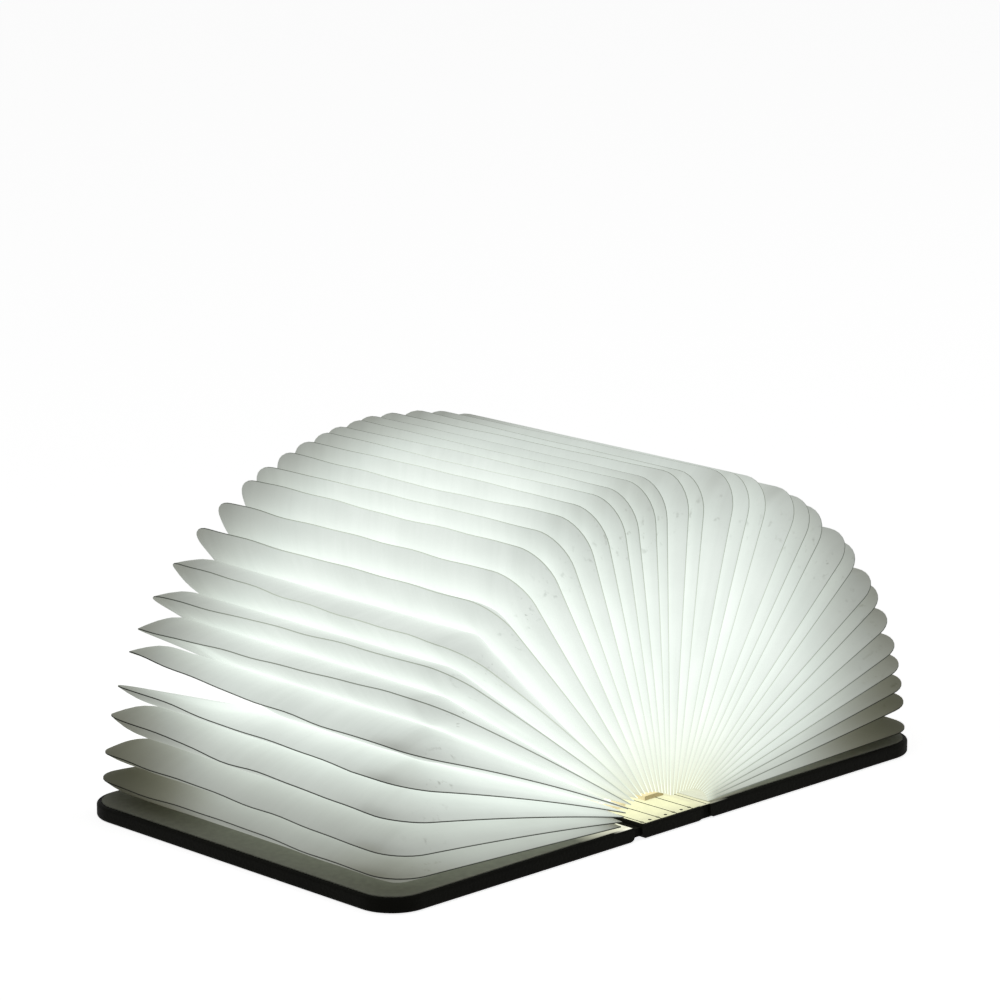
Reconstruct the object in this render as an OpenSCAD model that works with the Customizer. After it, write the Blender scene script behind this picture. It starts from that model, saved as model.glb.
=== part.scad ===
// Folding book lamp, lying open: two covers, a spine and a fan of page pockets.
// Millimetres. X runs across the open lamp, Y along the spine, Z up.
// The origin is under the middle of the spine, on the surface that the lamp lies on.

/* [Covers] */
// Length of the covers and the spine
cover_len = 122; // [100:1:150]
// Width of a cover, from its hinge line to its fore edge
cover_w = 90; // [75:1:110]
// Thickness of a wrapped cover
cover_t = 4; // [3.9:0.05:4.6]
// Radius of the fore corners, seen from above
corner_r = 11; // [4:0.5:18]
// Radius of the wrapped outer edges
edge_r = 0.8; // [0.6:0.1:1.2]
// Thickness of the leatherette
skin_t = 0.4; // [0.3:0.05:0.5]
// Width of the leatherette turned in over the board
turn_in = 15; // [14:0.5:22]
// Thickness of the liner on the inner face
liner_t = 0.25; // [0.15:0.05:0.35]
// Margin between the liner and the cover's edge
liner_inset = 1.4; // [1.2:0.1:3]

/* [Magnets] */
// Diameter of a cover magnet
magnet_d = 10; // [6:0.5:11]
// Thickness of a cover magnet
magnet_t = 2; // [1:0.25:2.25]
// Distance from the fore edge to a magnet's centre
magnet_in = 8.5; // [7:0.5:9]
// Distance from a cover's end to a magnet's centre
magnet_end = 14; // [12:0.5:20]

/* [Hinges] */
// Gap between the spine and each cover
hinge_gap = 2.7; // [2.6:0.05:3.2]
// Height of the hinge lines above the underside
hinge_z = 2.3; // [2.1:0.05:2.4]
// Radius of the top edges along a hinge
hinge_top_r = 1; // [0.8:0.05:1.3]
// Thickness of the web that a hinge strip is let in by
web_t = 0.5; // [0.3:0.05:0.7]
// Depth that a web is let into each side
web_in = 1; // [0.7:0.05:1.3]
// Distance from a web's end to the spine's end
web_end = 2; // [1.5:0.25:5]
// Play of a web in its slots, and of the padding beside the edges
web_play = 0.05; // [0.03:0.01:0.1]
// Distance from the padding's end to the spine's end
pad_end = 0.8; // [0.5:0.1:3]
// Underside of the left joint's padding
pad_left_z = 1; // [0.6:0.1:1.8]
// Top of the left joint's padding
pad_left_top = 3.3; // [2.8:0.05:3.6]
// Underside of the right joint's padding
pad_right_z = 0.2; // [0.1:0.05:1]
// Top of the right joint's padding
pad_right_top = 3.9; // [3:0.05:3.9]

/* [Spine] */
// Width of the spine
spine_w = 23.8; // [22:0.2:30]
// Width of the dark rim along the deck's sides
rim_w = 0.7; // [0.6:0.05:1]
// Length of the dark rim at the deck's ends
rim_end = 0.5; // [0.5:0.05:1.5]
// Thickness of the tray's floor
floor_t = 0.6; // [0.5:0.05:0.8]
// Thickness of the tray's walls
wall_t = 1.2; // [1.1:0.05:1.6]
// Thickness of the deck plate
deck_t = 0.8; // [0.7:0.05:1]
// Height that the deck stands above the covers' tops
deck_rise = 0.25; // [0.1:0.05:0.4]
// Corner radius of the deck
deck_r = 0.8; // [0.4:0.1:2]
// Play round the deck in its rebate
deck_play = 0.05; // [0.02:0.01:0.1]
// Number of holes in the row at the near end
hole_count = 7; // [3:2:7]
// Distance from the deck's left edge to the first hole's centre
hole_side = 0.9; // [0.8:0.05:3]
// Spacing of the holes
hole_pitch = 3.05; // [2:0.05:3.3]
// Diameter of the holes
hole_d = 1; // [0.6:0.1:1.4]
// Distance from the deck's end to the holes' centres
hole_end = 1.3; // [1.2:0.1:3]
// Width of the long grooves
groove_w = 0.4; // [0.2:0.05:0.6]
// Depth of the long grooves
groove_d = 0.25; // [0.1:0.05:0.4]

/* [Light] */
// Width of an LED strip
strip_w = 7.2; // [5:0.1:8]
// Length of an LED strip
strip_len = 94; // [60:1:98]
// Thickness of an LED strip
strip_t = 1.2; // [0.3:0.05:1.3]
// Margin between a strip and the deck's edge
strip_edge = 0.2; // [0.2:0.05:1]
// Number of LED packages on a strip
led_count = 9; // [3:1:12]
// Length of an LED package
led_l = 3.5; // [2:0.1:5]
// Width of an LED package
led_w = 2.8; // [1.6:0.1:4]
// Height of an LED package
led_h = 0.7; // [0.5:0.05:1]

/* [Power] */
// Width of the channel for the leads, on each side of the battery
channel_w = 1.3; // [1.2:0.1:4]
// Thickness of the flat battery
battery_t = 2; // [1.5:0.05:2.2]
// Distance from the battery to the charge board
cell_gap = 5; // [4:0.25:8]
// Distance from the reed switch's wire to the battery
reed_gap = 12.5; // [3:0.5:30]
// Width of the charge board
board_w = 18; // [15:0.5:19]
// Length of the charge board
board_len = 14; // [12:0.5:18]
// Thickness of the charge board
board_t = 0.8; // [0.6:0.05:1]
// Width of the micro-USB socket
socket_w = 7.5; // [7:0.1:8]
// Length of the micro-USB socket
socket_len = 5; // [4.5:0.1:6]
// Height of the micro-USB socket
socket_h = 2.4; // [2.2:0.02:2.4]
// Thickness of the socket's metal
socket_wall = 0.3; // [0.2:0.05:0.4]
// Play between the socket and what surrounds it
socket_play = 0.1; // [0.05:0.01:0.2]
// Depth of the socket's mouth behind the spine's end
socket_back = 0.5; // [0.3:0.05:0.6]
// Diameter of the reed switch's glass
reed_d = 1.8; // [1.2:0.1:2.1]
// Length of the reed switch's glass
reed_len = 12; // [8:0.5:14]
// Diameter of the leads
lead_d = 0.6; // [0.4:0.05:0.8]

/* [Pages] */
// Number of page pockets on each side
pockets = 18; // [8:1:18]
// Margin between the last left page's fore edge and the cover's fore edge
fore_left = 1.9; // [1:0.1:6]
// Margin between the last right page's fore edge and the cover's fore edge
fore_right = 1; // [1:0.1:6]
// Margin between the pages' ends and the covers' ends
sheet_margin = 0.65; // [0.5:0.05:4]
// Corner radius of a page
sheet_r = 10.1; // [6:0.1:16]
// How far the middle pages reach beyond the width of a cover
mid_reach = 3.6; // [1:0.1:5]
// How fast that reach falls off on the left, as a power
fall_left = 3; // [2:0.5:8]
// How fast it falls off on the right
fall_right = 6.5; // [2:0.5:8]
// Thickness of a page's paper
paper_t = 0.15; // [0.1:0.01:0.16]
// Thickness of the glued seam round a pocket
seam_t = 0.3; // [0.2:0.01:0.32]
// Width of the glued seam
seam_w = 1.8; // [1:0.1:3]
// Distance over which a pocket swells from its seam
swell = 12; // [6:0.5:20]
// Gap between neighbouring pockets
pocket_gap = 0.15; // [0.1:0.01:0.2]
// Gap between the last pocket and the liner
liner_gap = 0.4; // [0.3:0.05:0.8]
// Distance of the left pages' roots from their hinge line, on the cover
root_left = 6.4; // [1:0.1:9]
// Distance of the right pages' roots from their hinge line, on the cover
root_right = 1; // [1:0.1:9]
// Distance of the roots from their hinge line in the middle of the fan
root_mid = 7.2; // [5:0.1:9]
// Lean of the left half of the fan, in degrees
lean_left_deg = -7.5; // [-8:0.5:8]
// Lean of the right half of the fan, in degrees
lean_right_deg = 4.5; // [-8:0.5:8]
// How unevenly that lean is spread
skew_share = 0.5; // [0:0.05:0.6]
// Small irregularity of the pages, in degrees
ripple_deg = 0.8; // [0:0.1:1]
// How far the left pages hang at their near fore corners
sag = 2.6; // [0:0.1:2.6]
// Share of the way round to the cover where the pages begin to hang
sag_from_share = 0.39; // [0.2:0.01:0.5]
// Share of the way round to the cover where they hang most
sag_peak_share = 0.67; // [0.55:0.01:0.7]

/* [Hidden] */
$fn = 48;
cut = 1;                                   // how far a cutter runs past a face

half_len = cover_len / 2;
half_gap = hinge_gap / 2;
hinge_x = spine_w / 2 + half_gap;          // hinge lines at x = -hinge_x and hinge_x
under_r = hinge_z;                         // edges below a hinge line are a full quarter round

deck_w = spine_w - 2 * rim_w;
deck_len = cover_len - 2 * rim_end;
deck_top = cover_t + deck_rise;
deck_z = deck_top - deck_t;
floor_z = skin_t + floor_t;
hold_w = spine_w - 2 * (skin_t + wall_t);  // the room inside the tray
hold_len = cover_len - 2 * (skin_t + wall_t);
board_play = 0.4;
hole_x = hole_side - deck_w / 2;
strip_x = deck_w / 2 - strip_edge - strip_w / 2;
feed_y = strip_len / 2 + 1.6;              // where the LED feeds come up through the deck
feed_hole_d = lead_d + 0.5;

mouth_y = half_len - socket_back;
stub_len = 1.5;                            // bare wire at each end of the reed switch
lead_turn = 1.5;                           // room for a lead to turn at a wire's end
board_far = (hold_len - board_play) / 2;
board_near = board_far - board_len;
reed_x = -(hold_w / 2 - reed_d);
reed_y = -hold_len / 2 + lead_turn + lead_d + stub_len + reed_len / 2;
reed_far = reed_y + reed_len / 2 + stub_len;
cell_far = board_near - cell_gap;
cell_near = reed_far + reed_gap;
battery_w = hold_w - 2 * channel_w;
channel_x = (hold_w - channel_w) / 2;

PAGES_LEFT = [for (k = [1 : pockets]) str("page_left_", k)];
PAGES_RIGHT = [for (k = [1 : pockets]) str("page_right_", k)];

// ---- outlines ----

// Rectangle with its lower left corner at the origin and four radii, given as
// lower left, lower right, upper right and upper left.
module round_rect(w, h, radii) {
    at = [[0, 0], [w, 0], [w, h], [0, h]];
    difference() {
        square([w, h]);
        for (i = [0 : 3])
            if (radii[i] > 0) corner_waste(at[i], radii[i], i * 90);
    }
}

// What is cut from a square corner to round it; turn points the corner inwards.
module corner_waste(at, r, turn) {
    translate(at) rotate(turn) difference() {
        translate([-cut, -cut]) square(r + cut);
        translate([r, r]) circle(r);
    }
}

// Stands a flat outline drawn in X and Z upright and runs it along Y.
module along_y(from, to) {
    translate([0, to, 0]) rotate([90, 0, 0]) linear_extrude(to - from) children();
}

// Stands a flat outline drawn in Y and Z upright and runs it along X.
module along_x(from, to) {
    translate([from, 0, 0]) rotate([90, 0, 90]) linear_extrude(to - from) children();
}

// ---- wrapped shapes ----

// The right cover as a whole, drawn in by a distance on every face.
module cover_blank(inset) {
    near = half_gap + inset;
    far = cover_w - inset;
    t = cover_t - 2 * inset;
    r = corner_r - inset;
    e = edge_r - inset;
    len = cover_len - 2 * inset;
    translate([hinge_x, 0, inset]) intersection() {
        along_y(-len / 2, len / 2)
            translate([near, 0])
                round_rect(far - near, t, [under_r - inset, 0, 0, hinge_top_r - inset]);
        union() {
            along_y(-len / 2 + r, len / 2 - r)
                translate([near, 0]) round_rect(far - near, t, [0, e, e, 0]);
            along_x(near, far - r)
                translate([-len / 2, 0]) round_rect(len, t, [e, e, e, e]);
            for (side = [-1, 1])
                translate([far - r, side * (len / 2 - r), 0])
                    rotate_extrude() round_rect(r, t, [0, e, e, 0]);
        }
    }
}

// The spine as a whole, drawn in by a distance on every face.
module spine_blank(inset) {
    w = spine_w - 2 * inset;
    t = cover_t - 2 * inset;
    len = cover_len - 2 * inset;
    low = under_r - inset;
    top = hinge_top_r - inset;
    e = edge_r - inset;
    translate([0, 0, inset]) intersection() {
        along_y(-len / 2, len / 2) translate([-w / 2, 0]) round_rect(w, t, [low, low, top, top]);
        along_x(-w / 2, w / 2) translate([-len / 2, 0]) round_rect(len, t, [e, e, e, e]);
    }
}

// Outline of the right cover seen from above, drawn in by a distance.
module cover_plan(inset) {
    near = half_gap + inset;
    r = max(corner_r - inset, 1);
    translate([hinge_x + near, -half_len + inset])
        round_rect(cover_w - inset - near, cover_len - 2 * inset, [0, r, r, 0]);
}

// The raised middle of a board, which the turned-in leatherette stops against.
module board_window() {
    translate([0, 0, cover_t - skin_t]) linear_extrude(skin_t) cover_plan(turn_in);
}

// Room for a hinge web at the right hinge line.
module web_slot() {
    w = hinge_gap + 2 * (web_in + web_play);
    len = cover_len - 2 * (web_end - web_play);
    t = web_t + 2 * web_play;
    translate([hinge_x - w / 2, -len / 2, hinge_z - t / 2]) cube([w, len, t]);
}

module mirrored_pair() {
    children();
    mirror([1, 0, 0]) children();
}

// ---- cover pieces, drawn for the right and mirrored for the left ----

module cover_skin() {
    difference() {
        cover_blank(0);
        cover_blank(skin_t);
        board_window();
        web_slot();
    }
}

module cover_board() {
    difference() {
        union() {
            cover_blank(skin_t);
            board_window();
        }
        for (side = [-1, 1])
            magnet_seat(side, cut);
        web_slot();
    }
}

module magnet_seat(side, extra) {
    translate([hinge_x + cover_w - magnet_in, side * (half_len - magnet_end),
               cover_t - skin_t - magnet_t])
        cylinder(d = magnet_d, h = magnet_t + extra);
}

module cover_liner() {
    translate([0, 0, cover_t]) linear_extrude(liner_t) cover_plan(liner_inset);
}

module cover_magnets() {
    for (side = [-1, 1])
        magnet_seat(side, 0);
}

// Half the width of a joint's padding at a height: straight in the middle, widening
// round the edges below and above, always the play away from them.
function pad_half(z) =
    let (r = z < under_r ? under_r : hinge_top_r,
         dz = z < under_r ? under_r - z : max(z - cover_t + hinge_top_r, 0))
    half_gap + r - sqrt(pow(r + web_play, 2) - pow(dz, 2));

// Web let into both sides, with the padding that fills the joint between two heights.
module hinge_strip(low, top) {
    w = hinge_gap + 2 * web_in;
    len = cover_len - 2 * web_end;
    pad_len = cover_len - 2 * pad_end;
    bend = cover_t - hinge_top_r;
    heights = concat([for (i = [0 : 9]) low + (under_r - low) * i / 9],
                     [for (i = [0 : 4]) bend + (top - bend) * i / 4]);
    right = [for (z = heights) [pad_half(z), z]];
    left = [for (i = [len(heights) - 1 : -1 : 0]) [-pad_half(heights[i]), heights[i]]];
    translate([hinge_x, 0, 0]) {
        translate([-w / 2, -len / 2, hinge_z - web_t / 2]) cube([w, len, web_t]);
        along_y(-pad_len / 2, pad_len / 2) polygon(concat(right, left));
    }
}

module left_skin() { color("#1b1c19") mirror([1, 0, 0]) cover_skin(); }
module left_board() { color("#8a7458") mirror([1, 0, 0]) cover_board(); }
module left_liner() { color("#e9ebe4") mirror([1, 0, 0]) cover_liner(); }
module left_magnets() { color("#b9bcc0") mirror([1, 0, 0]) cover_magnets(); }
module left_hinge_strip() {
    color("#151614") mirror([1, 0, 0]) hinge_strip(pad_left_z, pad_left_top);
}
module right_skin() { color("#1b1c19") cover_skin(); }
module right_board() { color("#8a7458") cover_board(); }
module right_liner() { color("#e9ebe4") cover_liner(); }
module right_magnets() { color("#b9bcc0") cover_magnets(); }
module right_hinge_strip() { color("#151614") hinge_strip(pad_right_z, pad_right_top); }

// ---- spine pieces ----

module deck_outline(play) {
    w = deck_w + 2 * play;
    len = deck_len + 2 * play;
    r = deck_r + play;
    translate([-w / 2, -len / 2]) round_rect(w, len, [r, r, r, r]);
}

// Rebate for the deck, through the tray's rim and the leatherette over it.
module deck_rebate() {
    translate([0, 0, deck_z]) linear_extrude(deck_t + cut) deck_outline(deck_play);
}

// Way through the far end for the socket.
module socket_way() {
    w = socket_w + 2 * socket_play;
    translate([-w / 2, half_len - skin_t - wall_t - cut, floor_z])
        cube([w, skin_t + wall_t + 2 * cut, deck_z - floor_z]);
}

module spine_skin() {
    color("#1b1c19") difference() {
        spine_blank(0);
        spine_blank(skin_t);
        deck_rebate();
        mirrored_pair() web_slot();
        socket_way();
    }
}

module spine_tray() {
    color("#2a2b2a") difference() {
        spine_blank(skin_t);
        translate([-hold_w / 2, -hold_len / 2, floor_z])
            cube([hold_w, hold_len, cover_t]);
        deck_rebate();
        mirrored_pair() web_slot();
        socket_way();
    }
}

module spine_deck() {
    color("#e6d7b4") difference() {
        translate([0, 0, deck_z]) linear_extrude(deck_t) deck_outline(0);
        for (i = [0 : hole_count - 1])
            translate([hole_x + i * hole_pitch, hole_end - deck_len / 2, 0])
                cylinder(d = hole_d, h = deck_top + cut, $fn = 24);
        for (i = [0 : 2 : hole_count - 1])
            translate([hole_x + i * hole_pitch - groove_w / 2,
                       -deck_len / 2 - cut, deck_top - groove_d])
                cube([groove_w, deck_len + 2 * cut, groove_d + cut]);
        mirrored_pair() translate([strip_x, feed_y, 0])
            cylinder(d = feed_hole_d, h = deck_top + cut, $fn = 24);
    }
}

// Flat pouch cell with its folded top flap at the far end.
module battery() {
    r = 2;
    flap = 3;
    side = 0.5;
    body = cell_far - cell_near - flap;
    translate([-battery_w / 2, cell_near, floor_z]) color("#c9ccd0") {
        linear_extrude(battery_t) round_rect(battery_w, body, [r, r, 0, 0]);
        translate([side, body - side, battery_t / 4])
            cube([battery_w - 2 * side, flap + side, battery_t / 2]);
    }
}

// Board with its chip, coil and two resistors, notched for the socket.
module charge_board() {
    notch_w = socket_w + 2 * socket_play;
    notch_y = mouth_y - socket_len - socket_play;
    color("#2d6a46") difference() {
        translate([-board_w / 2, board_near, floor_z]) cube([board_w, board_len, board_t]);
        translate([-notch_w / 2, notch_y, floor_z - cut])
            cube([notch_w, board_far - notch_y + cut, board_t + 2 * cut]);
    }
    chip = 3;
    gap = 2;
    chip_z = floor_z + board_t;
    chip_y = board_near + gap;
    resistor = [1, 0.5, 0.4];
    color("#222222") translate([-chip - gap / 2, chip_y, chip_z]) cube([chip, chip, 0.9]);
    color("#555555") translate([gap / 2, chip_y, chip_z]) cube([chip, chip, 1.2]);
    color("#333333") for (x = [0, board_w / 3])
        translate([x - resistor[0] / 2, chip_y + chip + gap / 2, chip_z]) cube(resistor);
}

// Metal shell with bevelled lower corners, open at the far end, and its tongue.
module usb_socket() {
    bevel = 0.7;
    half = socket_w / 2;
    shell = [[-half + bevel, 0], [half - bevel, 0], [half, bevel], [half, socket_h],
             [-half, socket_h], [-half, bevel]];
    inner = half - socket_wall;
    slope = socket_wall * 0.41;
    bore = [[-inner + bevel - slope, socket_wall], [inner - bevel + slope, socket_wall],
            [inner, bevel + slope], [inner, socket_h - socket_wall],
            [-inner, socket_h - socket_wall], [-inner, bevel + slope]];
    tongue_w = socket_w / 2;
    color("#a9adb0") translate([0, 0, floor_z]) {
        difference() {
            along_y(mouth_y - socket_len, mouth_y) polygon(shell);
            along_y(mouth_y - socket_len + socket_wall, mouth_y + cut) polygon(bore);
        }
        translate([-tongue_w / 2, mouth_y - socket_len + socket_wall, socket_h * 0.5])
            cube([tongue_w, socket_len - 1, 0.5]);
    }
}

// Glass tube with rounded ends and a stub of wire at each end, lying on the floor.
module reed_switch() {
    r = reed_d / 2;
    color("#8fae8c") translate([reed_x, reed_y, floor_z + r]) rotate([90, 0, 0]) {
        translate([0, 0, -reed_len / 2 + r]) cylinder(r = r, h = reed_len - reed_d);
        for (side = [-1, 1]) {
            translate([0, 0, side * (reed_len / 2 - r)]) sphere(r);
            translate([0, 0, side * (reed_len / 2 + stub_len / 2 - 0.1)])
                cylinder(d = lead_d, h = stub_len + 0.2, center = true);
        }
    }
}

// A lead is a round wire mitred at its bends: a ring is drawn round the first point
// and slid along each stretch to the plane that halves the next bend.
lead_sides = 8;

function unit(v) = v / norm(v);
function stretch(points, i) = unit(points[i + 1] - points[i]);

function first_ring(points) =
    let (dir = stretch(points, 0),
         up = abs(dir[2]) < 0.9 ? [0, 0, 1] : [1, 0, 0],
         u = unit(cross(dir, up)),
         v = cross(dir, u))
    [for (i = [0 : lead_sides - 1])
        let (a = 360 * i / lead_sides)
        points[0] + lead_d / 2 * (cos(a) * u + sin(a) * v)];

function lead_rings(points, i) =
    i == 0 ? [first_ring(points)] :
    let (before = lead_rings(points, i - 1),
         dir = stretch(points, i - 1),
         n = i == len(points) - 1 ? dir : dir + stretch(points, i))
    concat(before, [[for (p = before[i - 1])
        p + dir * ((points[i] - p) * n) / (dir * n)]]);

module lead(points) {
    last = len(points) - 1;
    rings = lead_rings(points, last);
    sides = [for (i = [0 : last - 1]) for (j = [0 : lead_sides - 1])
        let (k = (j + 1) % lead_sides, m = i * lead_sides)
        [m + j, m + lead_sides + j, m + lead_sides + k, m + k]];
    near = [for (j = [0 : lead_sides - 1]) j];
    far = [for (j = [lead_sides - 1 : -1 : 0]) last * lead_sides + j];
    polyhedron([for (ring = rings) each ring], concat(sides, [near, far]));
}

module leads() {
    r = lead_d / 2;
    z = floor_z + r + 0.02;
    pad_z = floor_z + board_t / 2;
    touch = 0.05;
    cell_y = cell_far + touch;
    edge_y = board_near - touch;
    reed_stub = reed_len / 2 + stub_len + touch;
    reed_z = floor_z + reed_d / 2;
    turn_y = (cell_far + board_near) / 2;
    side_x = reed_x + reed_d + r;
    // cell to board
    color("#b03028") lead([[-3, cell_y, floor_z + battery_t / 2], [-3, turn_y, z],
                           [-3, edge_y, pad_z]]);
    color("#202020") lead([[3, cell_y, floor_z + battery_t / 2], [3, turn_y, z],
                           [3, edge_y, pad_z]]);
    // reed switch to board, one lead down each side of the cell
    color("#e0e0e0") lead([[reed_x, reed_y + reed_stub, reed_z],
                           [-channel_x, cell_near, z], [-channel_x, turn_y, z],
                           [-board_w / 2 + 2 * lead_d, edge_y, pad_z]]);
    color("#e0e0e0") lead([[reed_x, reed_y - reed_stub, reed_z],
                           [side_x, reed_y - reed_stub - lead_turn + r, z],
                           [-side_x, reed_y - reed_stub - lead_turn + r, z],
                           [channel_x, reed_y, z], [channel_x, turn_y, z],
                           [board_w / 2 - 2 * lead_d, edge_y, pad_z]]);
    // board to strips, up through the deck
    rest_z = deck_top + strip_t + r + 0.02;
    mirrored_pair() color("#e8e0d0")
        lead([[strip_x, feed_y, floor_z + board_t + 0.02], [strip_x, feed_y, rest_z],
              [strip_x, strip_len / 2 - 1.5, rest_z]]);
}

module led_strip() {
    translate([strip_x - strip_w / 2, -strip_len / 2, deck_top])
        cube([strip_w, strip_len, strip_t]);
}

module led_strip_left() { color("#d9c9a0") mirror([1, 0, 0]) led_strip(); }
module led_strip_right() { color("#d9c9a0") led_strip(); }

// Packages spaced evenly along both strips, each a body with a shallow lens well.
module leds() {
    pitch = strip_len / led_count;
    well = 0.15;
    color("#ffe9b0") mirrored_pair()
        for (i = [0 : led_count - 1])
            translate([strip_x, (i - (led_count - 1) / 2) * pitch, deck_top + strip_t])
                difference() {
                    translate([-led_w / 2, -led_l / 2, 0]) cube([led_w, led_l, led_h]);
                    translate([0, 0, led_h - well])
                        cylinder(d = 0.75 * led_w, h = well + cut, $fn = 24);
                }
}

// ---- pages ----
//
// The fan is cut by pockets + 1 planes on each side, from the upright one in the
// middle (0) to the one that lies on the cover. Each pocket fills the room between
// two planes. Planes are worked out for the right; the left is mirrored.

// Angle of a plane from upright when the lamp lies open.
function plane_deg(i, ways) =
    let (t = i / pockets)
    90 * t + ways[0] * sin(180 * t) * (1 + ways[1] * cos(180 * t))
    + ripple_deg * sin(137 * i) * sin(180 * t);

// Distance of a plane from the hinge line: evenly stacked when the lamp is shut.
last_d = cover_t - hinge_z + liner_t + liner_gap;
function plane_d(i) = hinge_x - (hinge_x - last_d) * i / pockets;

// Point on a plane at a distance s from the foot of the hinge line's normal, hung
// towards the cover by a distance.
function plane_point(i, s, ways, low) =
    let (a = plane_deg(i, ways), d = plane_d(i) - low)
    [hinge_x - d * cos(a) + s * sin(a), hinge_z + d * sin(a) + s * cos(a)];

// Where a page begins and ends on its plane.
// ways holds one side's own values: lean, its bias, the root's and the fore edge's
// distance on the cover, how fast the reach falls off, and how far the pages hang.
ways_left = [lean_left_deg, skew_share, root_left, cover_w - fore_left, fall_left, sag];
ways_right = [lean_right_deg, -skew_share, root_right, cover_w - fore_right, fall_right, 0];
function root_s(i, ways) = ways[2] + (root_mid - ways[2]) * pow(1 - i / pockets, 3);
function tip_s(i, ways) =
    ways[3] + (cover_w + mid_reach - ways[3]) * pow(1 - i / pockets, ways[4]);

// How far a plane hangs towards its cover: nothing at the root, most at the near
// fore corner; v runs from 0 at the near end to 1 at the far one.
function sag_share(t) =
    t < sag_from_share ? 0 :
    t < sag_peak_share ?
        0.5 - 0.5 * cos(180 * (t - sag_from_share) / (sag_peak_share - sag_from_share)) :
    (1 - t) / (1 - sag_peak_share);
function hang(i, s, v, ways) =
    let (u = max(0, (s - root_s(i, ways)) / (tip_s(i, ways) - root_s(i, ways))))
    ways[5] * sag_share(i / pockets) * pow(u, 2) * (1 - 0.7 * v);

// Sheet coordinates: s from the root, y along the spine. This is the distance of a
// sheet point from the seamed outline: fore edge, both ends, corners.
sheet_w = cover_len - 2 * sheet_margin;
function edge_distance(s, y, sheet_l) =
    let (dx = sheet_l - s, dy = sheet_w / 2 - abs(y))
    (dx < sheet_r && dy < sheet_r)
        ? sheet_r - norm([sheet_r - dx, sheet_r - dy])
        : min(dx, dy);

// Columns run from root to outline: [y at the root, distance of the outline short of
// the fore edge, y on the outline].
corner_cols = [for (i = [0 : 3])
    [[0, seam_w, swell / 2, swell][i] - sheet_w / 2,
     sheet_r - sheet_r * sin(30 * i),
     sheet_r - sheet_r * cos(30 * i) - sheet_w / 2]];
cols = concat(corner_cols, [[0, 0, 0]],
              [for (i = [3 : -1 : 0]) [-corner_cols[i][0], corner_cols[i][1],
                                       -corner_cols[i][2]]]);
// Rows, as distances short of the outline: a negative one is a share of the length.
rows = [-1, -0.55, swell, swell / 2, seam_w, 0];
nc = len(cols);
nr = len(rows);

function row_share(r, sheet_l) = 1 + (rows[r] < 0 ? rows[r] : -rows[r] / sheet_l);
function sheet_point(r, c, sheet_l) =
    let (share = row_share(r, sheet_l))
    [share * (sheet_l - cols[c][1]), cols[c][0] + share * (cols[c][2] - cols[c][0])];

// A wall point of pocket k: half is the share of the half thickness left at the
// seam or removed inside; way is 1 for the wall nearer the cover, -1 for the other.
function wall_point(k, r, c, way, inside, ways) =
    let (sheet_l = tip_s(k - 0.5, ways) - root_s(k - 0.5, ways),
         p = sheet_point(r, c, sheet_l),
         s = root_s(k - 0.5, ways) + p[0],
         v = 0.5 + p[1] / sheet_w,
         a = plane_point(k - 1, s, ways, hang(k - 1, s, v, ways)),
         b = plane_point(k, s, ways, hang(k, s, v, ways)),
         half = norm(b - a) / 2,
         full = sin(90 * min(max(edge_distance(p[0], p[1], sheet_l), 0) / swell, 1)),
         grow = full * (half - pocket_gap / 2 - seam_t / 2),
         off = way * (inside ? grow + seam_t / 2 - paper_t : grow + seam_t / 2),
         m = (a + b) / 2 + (b - a) / (2 * half) * (inside && on_ring(r, c) ? 0 : off))
    [m[0], p[1], m[1]];

// The inner walls meet along a ring one seam's width inside the outline.
function on_ring(r, c) = r >= nr - 2 || c <= 1 || c >= nc - 2;

// Point numbers: outer walls first, then inner ones.
function outer_at(r, c, way) = (way > 0 ? 0 : nr * nc) + r * nc + c;
function inner_at(r, c, way) =
    2 * nr * nc + ((way > 0 || on_ring(r, c)) ? 0 : nr * nc) + r * nc + c;

function quad(a, b, c, d) = [[a, b, c], [a, c, d]];

// A wall cell is split so that the cut runs from the sheet's middle to its corners.
function cell(a, b, c, d, col) =
    col < (nc - 1) / 2 ? [[a, b, d], [b, c, d]] : quad(a, b, c, d);
function flip(faces) = [for (f = faces) [f[2], f[1], f[0]]];
function flat(lists) = [for (l = lists) each l];

outline_walk = concat([for (r = [0 : nr - 1]) [r, 0]],
                      [for (c = [1 : nc - 1]) [nr - 1, c]],
                      [for (r = [nr - 2 : -1 : 0]) [r, nc - 1]]);

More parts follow.
